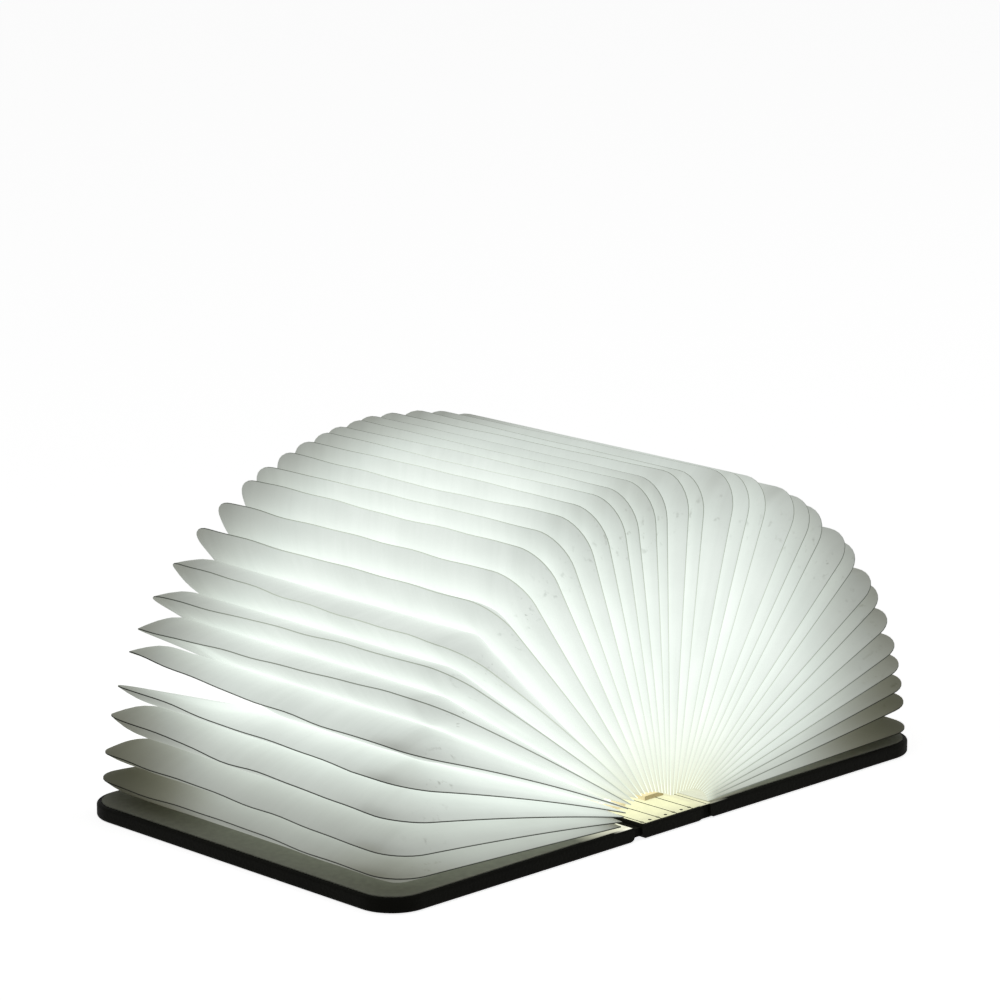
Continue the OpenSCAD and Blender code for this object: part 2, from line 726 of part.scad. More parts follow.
pocket_faces = let (
    outer = [for (way = [1, -1])
        let (f = flat([for (r = [0 : nr - 2]) each [for (c = [0 : nc - 2])
            cell(outer_at(r, c, way), outer_at(r, c + 1, way),
                 outer_at(r + 1, c + 1, way), outer_at(r + 1, c, way), c)]]))
        way > 0 ? f : flip(f)],
    inner = [for (way = [1, -1])
        let (f = flat([for (r = [0 : nr - 3]) each [for (c = [1 : nc - 3])
            cell(inner_at(r, c, way), inner_at(r, c + 1, way),
                 inner_at(r + 1, c + 1, way), inner_at(r + 1, c, way), c)]]))
        way > 0 ? flip(f) : f],
    rim = flat([for (i = [0 : len(outline_walk) - 2])
        let (p = outline_walk[i], q = outline_walk[i + 1])
        quad(outer_at(p[0], p[1], 1), outer_at(q[0], q[1], 1),
             outer_at(q[0], q[1], -1), outer_at(p[0], p[1], -1))]),
    root = flat([for (c = [1 : nc - 3]) each [
        quad(outer_at(0, c + 1, 1), outer_at(0, c, 1), inner_at(0, c, 1),
             inner_at(0, c + 1, 1)),
        quad(outer_at(0, c, -1), outer_at(0, c + 1, -1), inner_at(0, c + 1, -1),
             inner_at(0, c, -1))]]),
    ends = [[outer_at(0, 1, 1), outer_at(0, 0, 1), inner_at(0, 1, 1)],
            [outer_at(0, 0, 1), outer_at(0, 0, -1), inner_at(0, 1, 1)],
            [outer_at(0, 0, -1), outer_at(0, 1, -1), inner_at(0, 1, 1)],
            [outer_at(0, nc - 1, 1), outer_at(0, nc - 2, 1), inner_at(0, nc - 2, 1)],
            [outer_at(0, nc - 1, -1), outer_at(0, nc - 1, 1), inner_at(0, nc - 2, 1)],
            [outer_at(0, nc - 2, -1), outer_at(0, nc - 1, -1), inner_at(0, nc - 2, 1)]])
    flip(concat(outer[0], outer[1], inner[0], inner[1], rim, root, ends));

// One pocket: two sheets seamed round three edges and open along the root.
module pocket(k, ways) {
    points = [for (inside = [false, true]) for (way = [1, -1])
        for (r = [0 : nr - 1]) for (c = [0 : nc - 1])
            wall_point(k, r, c, way, inside, ways)];
    polyhedron(points, pocket_faces);
}

module page_right(k) { color("#eef3ea") pocket(k, ways_right); }
module page_left(k) { color("#eef3ea") mirror([1, 0, 0]) pocket(k, ways_left); }

spine_skin();
spine_tray();
spine_deck();
battery();
charge_board();
usb_socket();
reed_switch();
leads();
led_strip_left();
led_strip_right();
leds();
left_hinge_strip();
right_hinge_strip();
left_skin();
left_board();
left_liner();
left_magnets();
right_skin();
right_board();
right_liner();
right_magnets();
for (k = [1 : pockets])
    page_left(k);
for (k = [1 : pockets])
    page_right(k);
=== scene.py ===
import math

import bpy
import numpy as np
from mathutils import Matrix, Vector


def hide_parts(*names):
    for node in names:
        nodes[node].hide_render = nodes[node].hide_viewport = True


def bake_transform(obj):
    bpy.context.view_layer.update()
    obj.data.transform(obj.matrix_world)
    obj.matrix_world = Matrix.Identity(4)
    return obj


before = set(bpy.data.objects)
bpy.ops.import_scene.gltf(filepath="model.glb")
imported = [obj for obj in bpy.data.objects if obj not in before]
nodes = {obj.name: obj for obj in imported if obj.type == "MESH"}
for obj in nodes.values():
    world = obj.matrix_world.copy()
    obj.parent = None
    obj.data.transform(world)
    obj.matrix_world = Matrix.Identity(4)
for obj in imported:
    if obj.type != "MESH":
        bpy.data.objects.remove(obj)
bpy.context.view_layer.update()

mm = 0.001

cameraValues = {
    "place": (-0.81061, -0.81477, 0.35928),
    "forward": (0.68341, 0.69078, -0.23615),
    "lens": 156.8,
    "sensor": 36.0,
    "clipEnd": 20,
}


def makeCamera():
    data = bpy.data.cameras.new("viewCamera")
    data.lens = cameraValues["lens"]
    data.sensor_width = cameraValues["sensor"]
    data.clip_end = cameraValues["clipEnd"]
    camera = bpy.data.objects.new("viewCamera", data)
    bpy.context.scene.collection.objects.link(camera)
    camera.location = cameraValues["place"]
    camera.rotation_euler = Vector(cameraValues["forward"]).to_track_quat("-Z", "Y").to_euler()
    bpy.context.scene.camera = camera


def newMaterial(name):
    material = bpy.data.materials.new(name)
    material.use_nodes = True
    tree = material.node_tree
    tree.nodes.clear()
    return material, tree


def addNode(tree, kind, **settings):
    node = tree.nodes.new(kind)
    for key, value in settings.items():
        setattr(node, key, value)
    return node


def link(tree, source, socket, target, targetSocket):
    tree.links.new(source.outputs[socket], target.inputs[targetSocket])


# The rays that see the pale background: the camera's, and those off metal or glass.
def seenRays(tree):
    path = addNode(tree, "ShaderNodeLightPath")
    first = addNode(tree, "ShaderNodeMath", operation="MAXIMUM")
    both = addNode(tree, "ShaderNodeMath", operation="MAXIMUM")
    link(tree, path, "Is Camera Ray", first, 0)
    link(tree, path, "Is Transmission Ray", first, 1)
    link(tree, first, 0, both, 0)
    link(tree, path, "Is Glossy Ray", both, 1)
    return both


stageValues = {
    "white": (1, 1, 1, 1),
    "unseenGrey": (0.5, 0.5, 0.5, 1),    # the floor, to rays that only carry light on
    "floorGlow": 0.86,
    "floorSize": 6.0,
    "floorCuts": 4,
    "floorDrop": 0.0002,
    "worldLight": 0.10,
    "backLight": 1,
    "lampSize": 0.9,
    "lamps": {
        "keyLight": {"place": (-0.7, -0.5, 1.1), "power": 1.2},
        "fillLight": {"place": (0.9, -0.6, 0.8), "power": 0.5},
    },
}


# The floor glows a little and takes light, so that it is white and keeps the shadow.
def makeFloor():
    bpy.ops.mesh.primitive_grid_add(x_subdivisions=stageValues["floorCuts"],
                                    y_subdivisions=stageValues["floorCuts"],
                                    size=stageValues["floorSize"],
                                    location=(0, 0, -stageValues["floorDrop"]))
    floor = bpy.context.object
    floor.name = "floor"
    material, tree = newMaterial("floorPaint")
    out = addNode(tree, "ShaderNodeOutputMaterial")
    mix = addNode(tree, "ShaderNodeMixShader")
    seen = seenRays(tree)
    diffuse = addNode(tree, "ShaderNodeBsdfDiffuse")
    diffuse.inputs["Color"].default_value = stageValues["unseenGrey"]
    pale = addNode(tree, "ShaderNodeBsdfDiffuse")
    pale.inputs["Color"].default_value = stageValues["white"]
    glow = addNode(tree, "ShaderNodeEmission")
    glow.inputs["Color"].default_value = stageValues["white"]
    glow.inputs["Strength"].default_value = stageValues["floorGlow"]
    both = addNode(tree, "ShaderNodeAddShader")
    link(tree, pale, 0, both, 0)
    link(tree, glow, 0, both, 1)
    link(tree, seen, 0, mix, 0)
    link(tree, diffuse, 0, mix, 1)
    link(tree, both, 0, mix, 2)
    link(tree, mix, 0, out, 0)
    floor.data.materials.append(material)


def makeWorld():
    world = bpy.data.worlds.new("studio")
    bpy.context.scene.world = world
    world.use_nodes = True
    tree = world.node_tree
    tree.nodes.clear()
    out = addNode(tree, "ShaderNodeOutputWorld")
    mix = addNode(tree, "ShaderNodeMixShader")
    seen = seenRays(tree)
    soft = addNode(tree, "ShaderNodeBackground")
    soft.inputs["Color"].default_value = stageValues["white"]
    soft.inputs["Strength"].default_value = stageValues["worldLight"]
    back = addNode(tree, "ShaderNodeBackground")
    back.inputs["Color"].default_value = stageValues["white"]
    back.inputs["Strength"].default_value = stageValues["backLight"]
    link(tree, seen, 0, mix, 0)
    link(tree, soft, 0, mix, 1)
    link(tree, back, 0, mix, 2)
    link(tree, mix, 0, out, 0)


def makeLamps():
    for name, value in stageValues["lamps"].items():
        data = bpy.data.lights.new(name, "AREA")
        data.energy = value["power"]
        data.size = stageValues["lampSize"]
        lamp = bpy.data.objects.new(name, data)
        bpy.context.scene.collection.objects.link(lamp)
        lamp.location = value["place"]
        lamp.rotation_euler = (-Vector(value["place"])).to_track_quat("-Z", "Y").to_euler()


makeCamera()
makeFloor()
makeWorld()
makeLamps()
bpy.context.scene.view_settings.view_transform = "Standard"
print("camera, floor and light are set")


# Small parts that the materials share.
def principled(tree, base, roughness, metallic=0.0, specular=0.5):
    out = addNode(tree, "ShaderNodeOutputMaterial")
    shader = addNode(tree, "ShaderNodeBsdfPrincipled")
    shader.inputs["Base Color"].default_value = (*base, 1)
    shader.inputs["Roughness"].default_value = roughness
    shader.inputs["Metallic"].default_value = metallic
    shader.inputs["Specular IOR Level"].default_value = specular
    link(tree, shader, 0, out, 0)
    return shader


def noise(tree, scale, detail=3.0, roughness=0.5, space="Object", stretch=(1, 1, 1)):
    place = addNode(tree, "ShaderNodeTexCoord")
    mapping = addNode(tree, "ShaderNodeMapping")
    mapping.inputs["Scale"].default_value = stretch
    texture = addNode(tree, "ShaderNodeTexNoise")
    texture.inputs["Scale"].default_value = scale
    texture.inputs["Detail"].default_value = detail
    texture.inputs["Roughness"].default_value = roughness
    link(tree, place, space, mapping, 0)
    link(tree, mapping, 0, texture, "Vector")
    return texture


def bump(tree, source, socket, shader, distance, strength=1.0, before=None):
    node = addNode(tree, "ShaderNodeBump")
    node.inputs["Distance"].default_value = distance
    node.inputs["Strength"].default_value = strength
    link(tree, source, socket, node, "Height")
    if before:
        link(tree, before, 0, node, "Normal")
    link(tree, node, 0, shader, "Normal")
    return node


def ramp(tree, source, stops):
    node = addNode(tree, "ShaderNodeValToRGB")
    elements = node.color_ramp.elements
    while len(elements) < len(stops):
        elements.new(0.5)
    for element, (at, colour) in zip(elements, stops):
        element.position = at
        element.color = (*colour, 1)
    link(tree, source, 0, node, 0)
    return node


# Carries a node's value from one range to another, and holds it at the ends.
def spread(tree, source, low, high, toLow=0.0, toHigh=1.0, socket=0):
    node = addNode(tree, "ShaderNodeMapRange")
    node.inputs["From Min"].default_value = low
    node.inputs["From Max"].default_value = high
    node.inputs["To Min"].default_value = toLow
    node.inputs["To Max"].default_value = toHigh
    link(tree, source, socket, node, 0)
    return node


# The product of two nodes' values, or of one and a number.
def times(tree, first, second, socket=0):
    node = addNode(tree, "ShaderNodeMath", operation="MULTIPLY")
    link(tree, first, socket, node, 0)
    if isinstance(second, float):
        node.inputs[1].default_value = second
    else:
        link(tree, second, 0, node, 1)
    return node


# A share that runs from 0 to 1 between two places on one axis, in millimetres.
def axisShare(tree, axis, low, high):
    place = addNode(tree, "ShaderNodeTexCoord")
    apart = addNode(tree, "ShaderNodeSeparateXYZ")
    link(tree, place, "Object", apart, 0)
    return spread(tree, apart, low * mm, high * mm, socket=axis)


# Mixes two colours, each a node's or a plain one, by a node's share.
def mixColour(tree, share, socket, below, above):
    node = addNode(tree, "ShaderNodeMix", data_type="RGBA")
    link(tree, share, socket, node, 0)
    for place, colour in ((6, below), (7, above)):    # the sockets for colours
        if isinstance(colour, tuple):
            node.inputs[place].default_value = (*colour, 1)
        else:
            link(tree, colour, 0, node, place)
    return node


# A straight run between stops, each of them a place and the value there.
def along(stops, at):
    return float(np.interp(at, [p[0] for p in stops], [p[1] for p in stops]))


# A smooth step: three squares less two cubes, between 0 and 1.
def smooth(t):
    t = np.clip(t, 0, 1)
    return t * t * (3 - 2 * t)


# Each pocket's own random seed, so that every run draws the same numbers.
def seedOf(value, k, side):
    return value["seed"] + value["seedStep"] * k + (side == "left")


# The fan of pages, in millimetres and degrees.
pageValues = {
    "pockets": 18,          # on each side
    "hingeX": 13.25,
    "hingeZ": 2.3,
    "lastD": 2.35,          # the plane on the cover lies this far above the hinge line
    "rootMiddle": 7.2,      # where the middle pages begin and end on their planes
    "tipMiddle": 93.6,
    "halfWidth": 60.35,     # half of a page's length along the spine
    "corner": 10.1,
    "ripple": 0.8,
    "rippleStep": 137,
    "swell": 12.0,          # distance over which a pocket swells from its seam
    "seam": 0.3,
    "gap": 0.15,            # between neighbouring pockets
    "rows": 34,
    "rowPower": 1.7,        # rows crowd towards the fore edge
    "rootPower": 1.5,       # columns crowd towards the ends
    "cornerCols": 9,
    "middleCols": 26,
    "blendAt": 0.75,        # how far out along a page its turn is measured
}
# One side's own values: lean and its bias, the root's and the fore edge's distance on
# the cover, how fast the reach falls off, and how far the pages hang.
sideValues = {
    "left": {"lean": (-7.5, 0.5), "root": 6.4, "tip": 88.1, "fall": 3.0, "hang": 2.6},
    "right": {"lean": (4.5, -0.5), "root": 1.0, "tip": 89.0, "fall": 6.5, "hang": 0.0},
}
hangValues = {"from": 0.39, "peak": 0.67, "farLoss": 0.7}
sign = {"left": -1, "right": 1}


# Angle from upright of plane i, 0 in the middle of the fan and 18 on the cover: an even
# share of a right angle, a lean that is most half-way, and a small irregular ripple.
def planeAngle(i, side):
    t = i / pageValues["pockets"]
    lean, bias = sideValues[side]["lean"]
    hump = math.sin(math.pi * t)
    return (90 * t + lean * hump * (1 + bias * math.cos(math.pi * t))
            + pageValues["ripple"] * math.sin(math.radians(pageValues["rippleStep"] * i)) * hump)


# How far plane i lies over: 0 is upright, 1 is flat.
def turnShare(i, side):
    return planeAngle(i, side) / 90


# The share of the way from the near end of the spine to the far end.
def spineShare(y):
    return 0.5 + 0.5 * y / pageValues["halfWidth"]


# Where a page begins on its plane: its middle value fades as the cube of the way back.
def rootS(i, side):
    root = sideValues[side]["root"]
    return root + (pageValues["rootMiddle"] - root) * (1 - i / pageValues["pockets"]) ** 3


# Where it ends: the same, with the side's own power.
def tipS(i, side):
    tip, fall = sideValues[side]["tip"], sideValues[side]["fall"]
    return tip + (pageValues["tipMiddle"] - tip) * (1 - i / pageValues["pockets"]) ** fall


# How far a plane hangs towards its cover: as the square of the way out, less towards the
# far end, and most for the planes two thirds of the way down the fan.
def hang(i, s, y, side):
    t = i / pageValues["pockets"]
    begin, peak = hangValues["from"], hangValues["peak"]
    if t < begin:
        share = 0.0
    elif t < peak:
        share = 0.5 - 0.5 * math.cos(math.pi * (t - begin) / (peak - begin))
    else:
        share = (1 - t) / (1 - peak)
    u = np.maximum(0, (s - rootS(i, side)) / (tipS(i, side) - rootS(i, side)))
    v = spineShare(y)
    return sideValues[side]["hang"] * share * u ** 2 * (1 - hangValues["farLoss"] * v)


# Foot at distance d from the hinge line, then s along the plane; x is outward.
def planePoint(i, s, y, side):
    a = math.radians(planeAngle(i, side))
    d = pageValues["hingeX"] - (pageValues["hingeX"] - pageValues["lastD"]) \
        * i / pageValues["pockets"] - hang(i, s, y, side)
    return (pageValues["hingeX"] - d * math.cos(a) + s * math.sin(a),
            pageValues["hingeZ"] + d * math.sin(a) + s * math.cos(a))


# Sheet grid: columns leave the root side by side and end evenly along the
# outline, which is two straight ends, two round corners and the fore edge.
def sheetGrid(length):
    half, r = pageValues["halfWidth"], pageValues["corner"]
    turn = np.linspace(0, math.pi / 2, pageValues["cornerCols"])
    nearRoot = -half + pageValues["swell"] * (turn / turn[-1]) ** pageValues["rootPower"]
    nearTip = np.stack([length - r + r * np.sin(turn), -half + r - r * np.cos(turn)], 1)
    middle = np.linspace(0, 1, pageValues["middleCols"] + 2)[1:-1]
    rootY = np.concatenate([nearRoot, nearRoot[-1] + middle * -2 * nearRoot[-1],
                            -nearRoot[::-1]])
    edgeS = np.concatenate([nearTip[:, 0], np.full(len(middle), length), nearTip[::-1, 0]])
    edgeY = np.concatenate([nearTip[:, 1], nearTip[-1, 1] + middle * -2 * nearTip[-1, 1],
                            -nearTip[::-1, 1]])
    share = 1 - (1 - np.linspace(0, 1, pageValues["rows"])) ** pageValues["rowPower"]
    s = share[:, None] * edgeS[None, :]
    y = rootY[None, :] + share[:, None] * (edgeY - rootY)[None, :]
    return s, y


# Distance inward from the seamed outline.
def edgeDistance(s, y, length):
    dx = length - s
    dy = pageValues["halfWidth"] - np.abs(y)
    r = pageValues["corner"]
    inCorner = (dx < r) & (dy < r)
    return np.where(inCorner, r - np.hypot(r - dx, r - dy), np.minimum(dx, dy)).clip(0)


# Where each seam lies in its pocket, as a share of half the pocket's thickness at the
# near end, the middle and the far end; 1 is the wall nearer the cover. The pockets
# count from the middle of the fan.
seamValues = {
    "left": {
        "near": (0.1, -0.2, 0.25, -0.1, 0.2, -0.15, -0.1, -0.2, -0.2, 0.1, 0.7, 0.0, 0.0,
                 0.75, 0.85, 0.65, 0.7, 0.05),
        "middle": (-0.1, 0.2, -0.2, 0.1, -0.1, 0.15, -0.1, -0.2, -0.2, 0.1, 0.6, 0.3, 0.4,
                   0.62, 0.55, 0.4, 0.32, -0.25),
        "far": (0.1, -0.1, 0.2, -0.2, 0.1, -0.1, 0.1, -0.3, -0.2, 0.1, 0.4, 0.75, 0.82,
                0.1, 0.2, 0.0, 0.1, -0.25),
    },
    "right": {
        "near": (0.3, -0.35, 0.4, -0.1, -0.45, 0.35, 0.1, -0.4, 0.3, -0.2, 0.4, -0.3, 0.2,
                 0.35, 0.3, 0.1, -0.3, 0.2),
        "middle": (0.1, -0.2, 0.2, 0.0, -0.2, 0.2, 0.1, -0.2, 0.1, -0.1, 0.2, -0.1, 0.1,
                   0.2, 0.1, 0.0, -0.1, 0.1),
        "far": (-0.1, 0.1, 0.0, 0.2, 0.1, -0.2, 0.1, 0.2, -0.1, 0.1, -0.1, 0.2, 0.0,
                -0.2, 0.1, 0.2, 0.1, 0.0),
    },
    "nearShare": 0.08,           # the near value holds up to here, and the far one past 0.92
    "reach": 0.42,
    "wave": {"left": 0.05, "right": 0.04},
    "waves": (2.1, 3.7, 5.9),    # waves along a seam
    "waveShare": (0.5, 1),
    "quiet": 0.2,                # share of the seam in which the waves grow
    "most": 0.85,
    "rootPower": 0.7,
    "seed": 700,
    "seedStep": 20,
}


# A smooth run through the three places, with three small waves laid over it, all of it
# fading towards the root.
def seamShift(k, side, u, y):
    v = spineShare(y)
    value = seamValues[side]
    reach, most = seamValues["reach"], seamValues["most"]
    near, middle, far = (value[key][k - 1] for key in ("near", "middle", "far"))
    place = np.where(v < 0.5,
                     near + (middle - near) * smooth((v - seamValues["nearShare"]) / reach),
                     middle + (far - middle) * smooth((v - 0.5) / reach))
    rng = np.random.default_rng(seedOf(seamValues, k, side))
    longest = seamValues["waves"][0]
    for wave in seamValues["waves"]:
        height = seamValues["wave"][side] * math.sqrt(longest / wave) \
            * rng.uniform(*seamValues["waveShare"])
        place = place + height * np.sin(2 * math.pi * (wave * v + rng.uniform(0, 1))) \
            * smooth(v / seamValues["quiet"])
    return np.clip(place, -most, most) * np.clip(u, 0, 1) ** seamValues["rootPower"]


# Two left pockets lie thin at their far fore corners, so that there is a view between
# them: the wall on the side of the gap stays down there. A third is a little thinner.
gapeValues = {
    "open": {14: 1, 15: -1},
    "openShare": 0.97,
    "openReach": 72.0,    # from the far fore corner, along both edges together
    "small": {13: 1},
    "smallShare": 0.8,
    "smallReach": 50.4,
    "soft": 30.0,
}


# The share of a wall's swell that is lost, full at the far fore corner.
def gape(k, side, way, s, y, length):
    corner = (length - s) + (pageValues["halfWidth"] - y)
    if side == "left":
        for kind in ("open", "small"):
            if gapeValues[kind].get(k) == way:
                reach = gapeValues[f"{kind}Reach"]
                return gapeValues[f"{kind}Share"] * smooth((reach - corner) / gapeValues["soft"])
    return np.zeros_like(s)


puckerValues = {
    "depth": 0.11,
    "inset": 12,
    "reach": 13.75,
    "waves": 4,
    "across": (0.25, 0.6),
    "tilt": (-0.6, 0.6),
    "phase": (0, 6.28),
    "most": 0.5,          # of the wall's own swell
    "seed": 0,
    "seedStep": 40,
}


# Small puckers where the paper turns the rounded corners: waves of a random width and
# slant, fading as a bell round a point inside each corner.
def pucker(s, y, length, k, side):
    rng = np.random.default_rng(seedOf(puckerValues, k, side))
    total = np.zeros_like(s)
    for end in (-1, 1):
        dx = length - s
        dy = pageValues["halfWidth"] - end * y
        away = np.hypot(dx - puckerValues["inset"], dy - puckerValues["inset"])
        fade = np.exp(-(away / puckerValues["reach"]) ** 2)
        for wave in range(puckerValues["waves"]):
            across = rng.uniform(*puckerValues["across"])
            tilt = rng.uniform(*puckerValues["tilt"])
            phase = rng.uniform(*puckerValues["phase"])
            total += fade * np.sin(across * (dx * (1 + tilt) - dy * (1 - tilt)) + phase)
    return total * puckerValues["depth"]


crumpleValues = {
    "fromFore": (8.0, 14.0),
    "fromEnd": (1.8, 3.2),
    "long": 5.5,
    "deep": 2.4,
    "share": (0.5, 1),
    "seed": 9000,
    "seedStep": 40,
}


# Where the paper is crumpled: a short bell-shaped patch inside the seam at both corners, where
# painted shade of the creases darkens the glow.
def crumpleShare(s, y, length, k, side):
    rng = np.random.default_rng(seedOf(crumpleValues, k, side))
    dx = length - s - rng.uniform(*crumpleValues["fromFore"])
    share = np.zeros_like(s)
    for end in (-1, 1):
        dy = pageValues["halfWidth"] - end * y - rng.uniform(*crumpleValues["fromEnd"])
        patch = np.exp(-(dx / crumpleValues["long"]) ** 2 - (dy / crumpleValues["deep"]) ** 2)
        share = share + patch * rng.uniform(*crumpleValues["share"])
    return share


# Brightness that shows through the paper. It starts from a level for each pocket, then
# falls towards the fore edge at the near end, the middle and the far end; in each pair
# the first number is the share of the way from the middle of the fan to the cover.
glowValues = {
    "rootDip": 0.14,
    "rootReach": 0.12,
    "nearFrom": -20,
    "nearReach": 40,
    "farReach": 60,
    "power": 5,
    "least": 0.008,
    "left": {
        "seamShade": (13.0, 0.17),
        "level": ((0, 0.96), (0.3, 0.97), (0.42, 0.90), (0.65, 0.84), (0.78, 0.86),
                  (0.84, 0.72), (0.91, 0.55), (0.97, 0.46), (1, 0.36)),
        "near": ((0, 0.9), (0.28, 0.5), (0.4, 0.15), (0.62, 0.2), (0.78, 0.7), (0.84, 0.4),
                 (0.91, 0.4), (1, 2.2)),
        "middle": ((0, 0.35), (0.12, 0.08), (0.6, 0.08), (0.8, 0.2), (1, 0.4)),
        "far": ((0, 2.4), (0.3, 2.0), (0.5, 3.2), (0.8, 3.2), (0.91, 9.0), (1, 30.0)),
    },
    "right": {
        "seamShade": (10.0, 0.10),
        "level": ((0, 0.90), (0.3, 0.91), (0.5, 0.88), (0.57, 0.86), (0.64, 0.82),
                  (0.75, 0.80), (0.85, 0.71), (0.89, 0.61), (0.94, 0.52), (1, 0.42)),
        "near": ((0, 0.7), (0.3, 0.62), (0.4, 1.3), (0.57, 2.0), (0.64, 2.5), (0.7, 3.0),
                 (0.8, 3.6), (0.85, 4.6), (0.89, 8.0), (0.94, 12.0), (1, 24.0)),
        "middle": ((0, 0.3), (0.6, 0.8), (1, 8.0)),
        "far": ((0, 2.2), (0.85, 2.2), (0.95, 4.0), (1, 9.0)),
    },
}
# Painted shadow on the upper walls of the lowest left pockets, beside the seam at y.
seamShadowValues = {"from": 0.7, "depth": 0.3, "edge": 1.8, "y": -50, "long": 8}
# Light of the strip on the roots: held up on the right, lost low down on the left.
rootValues = {
    "rightLevel": 0.62,
    "rightReach": 0.05,
    "leftLoss": 0.65,
    "leftFrom": 0.8,
    "leftFade": 0.15,
    "leftReach": 0.045,
}
# How strongly the warm light of the deck washes over the roots of the pages.
warmValues = {
    "reach": 9.0,
    "left": ((0, 1.0), (0.5, 0.9), (0.7, 0.5), (0.85, 0.0), (1, 0.0)),
    "right": ((0, 1.0), (0.6, 0.9), (1, 0.6)),
}
# How bright the seam is beside its page: painted shade where the left pages lean on each other.
seamLevel = {
    "left": ((0, 1.25), (0.51, 1.3), (0.58, 1.1), (0.64, 0.65), (0.71, 0.28), (0.78, 0.2),
             (0.84, 0.14), (0.9, 0.3), (1, 0.55)),
    "right": ((0, 1.15), (0.8, 1.15), (1, 1.0)),
}
facetValues = {
    "start": (1.5, 4.0),
    "slant": (2.0, 7.0),
    "rise": 1.3,
    "flat": 3.0,
    "fade": 4.0,
    "depth": {"left": 0.05, "right": 0.09},
    "seed": 300,
    "seedStep": 2,
}


# A soft facet beside each end: a duller band whose line runs away from the end
# towards the fore edge, rising sharply and fading slowly.
def facet(k, u, y, side):
    value = facetValues
    rng = np.random.default_rng(seedOf(value, k, side))
    dull = np.zeros_like(u)
    for end in (-1, 1):
        start = rng.uniform(*value["start"]) + rng.uniform(*value["slant"]) * u
        away = pageValues["halfWidth"] - end * y - start
        dull = dull + smooth(away / value["rise"]) \
            * (1 - smooth((away - value["flat"]) / value["fade"]))
    return 1 - value["depth"][side] * dull


# The glow of one wall: the pocket's level, dipped at the root, divided by one plus a
# fall times the fifth power of the way out, then shaded beside the seam and by facets.
# The fall runs from its middle value to the near one by a square, and to the far one
# by a cube.
def glowField(k, u, y, e, side, way):
    value = glowValues[side]
    w = turnShare(k - 0.5, side)
    near, middle, far = (along(value[key], w) for key in ("near", "middle", "far"))
    nearShare = np.clip((glowValues["nearFrom"] - y) / glowValues["nearReach"], 0, 1) ** 2
    farShare = np.clip(y / glowValues["farReach"], 0, 1) ** 3
    fall = middle + (near - middle) * nearShare + far * farShare
    dip = 1 - glowValues["rootDip"] * np.exp(-(u / glowValues["rootReach"]) ** 2)
    light = along(value["level"], w) * dip / (1 + fall * u ** glowValues["power"])
    # painted shadow beside the seam on the lowest left pockets
    if side == "left" and way < 0 and w > seamShadowValues["from"]:
        bell = np.exp(-(e / seamShadowValues["edge"]) ** 2
                      - ((y - seamShadowValues["y"]) / seamShadowValues["long"]) ** 2)
        light = light * (1 - seamShadowValues["depth"] * bell)
    deep, rise = value["seamShade"]
    light = light * (1 - rise * (1 - smooth(e / deep))) * facet(k, u, y, side)
    if side == "right":
        atRoot = np.exp(-(u / rootValues["rightReach"]) ** 2)
        light = np.maximum(light, rootValues["rightLevel"] * atRoot)
    else:
        atRoot = np.exp(-(u / rootValues["leftReach"]) ** 2)
        low = smooth((w - rootValues["leftFrom"]) / rootValues["leftFade"])
        light = light * (1 - rootValues["leftLoss"] * low * atRoot)
    return np.clip(light, glowValues["least"], 1)


# The two walls of pocket k and their glow. Each lies off the middle surface between two
# planes by half the seam plus a swell, a quarter sine of the distance from the outline.
def pocketWalls(k, side, sheetS, sheetY, first, length):
    s = sheetS + first
    u = sheetS / length
    ax, az = planePoint(k - 1, s, sheetY, side)
    bx, bz = planePoint(k, s, sheetY, side)
    half = np.hypot(bx - ax, bz - az) / 2
    nx, nz = (bx - ax) / (2 * half), (bz - az) / (2 * half)
    e = edgeDistance(sheetS, sheetY, length)
    full = np.sin(np.pi / 2 * np.minimum(e / pageValues["swell"], 1))
    room = half - pageValues["gap"] / 2 - pageValues["seam"] / 2
    dent = pucker(sheetS, sheetY, length, k, side) * full
    lie = seamShift(k, side, u, sheetY) * room * (1 - full)
    walls, lights = [], []
    for way in (1, -1):
        grow = full * room * (1 - gape(k, side, way, sheetS, sheetY, length))
        pressed = np.minimum(np.abs(dent) * (dent * way > 0), puckerValues["most"] * grow)
        off = lie + way * (pageValues["seam"] / 2 + grow - pressed)
        x = (ax + bx) / 2 + nx * off
        z = (az + bz) / 2 + nz * off
        walls.append(np.stack([sign[side] * x, sheetY, z], -1).reshape(-1, 3))
        lights.append(glowField(k, u, sheetY, e, side, way).ravel())
    return np.concatenate(walls) * mm, np.concatenate(lights)


# Faces of two grids of points laid back to back: both walls, the closed root, and the
# seam's rim, which walks round the outline from one root corner to the other.
def pocketFaces(rows, cols):
    r, c = np.meshgrid(np.arange(rows - 1), np.arange(cols - 1), indexing="ij")
    a = (r * cols + c).ravel()
    other = rows * cols
    front = np.stack([a, a + 1, a + cols + 1, a + cols], 1)
    back = front[:, ::-1] + other
    walk = np.concatenate([np.arange(rows) * cols, (rows - 1) * cols + np.arange(1, cols),
                           np.arange(rows - 2, -1, -1) * cols + cols - 1])
    rim = np.stack([walk[:-1], walk[1:], walk[1:] + other, walk[:-1] + other], 1)
    root = np.arange(cols - 1, -1, -1)
    foot = np.stack([root[:-1], root[1:], root[1:] + other, root[:-1] + other], 1)
    faces = np.concatenate([front, back, foot, rim])
    return faces, 2 * len(front), len(foot), len(rim)


def writeField(mesh, name, values):
    field = mesh.attributes.new(name, "FLOAT", "POINT")
    field.data.foreach_set("value", values.astype(np.float32))


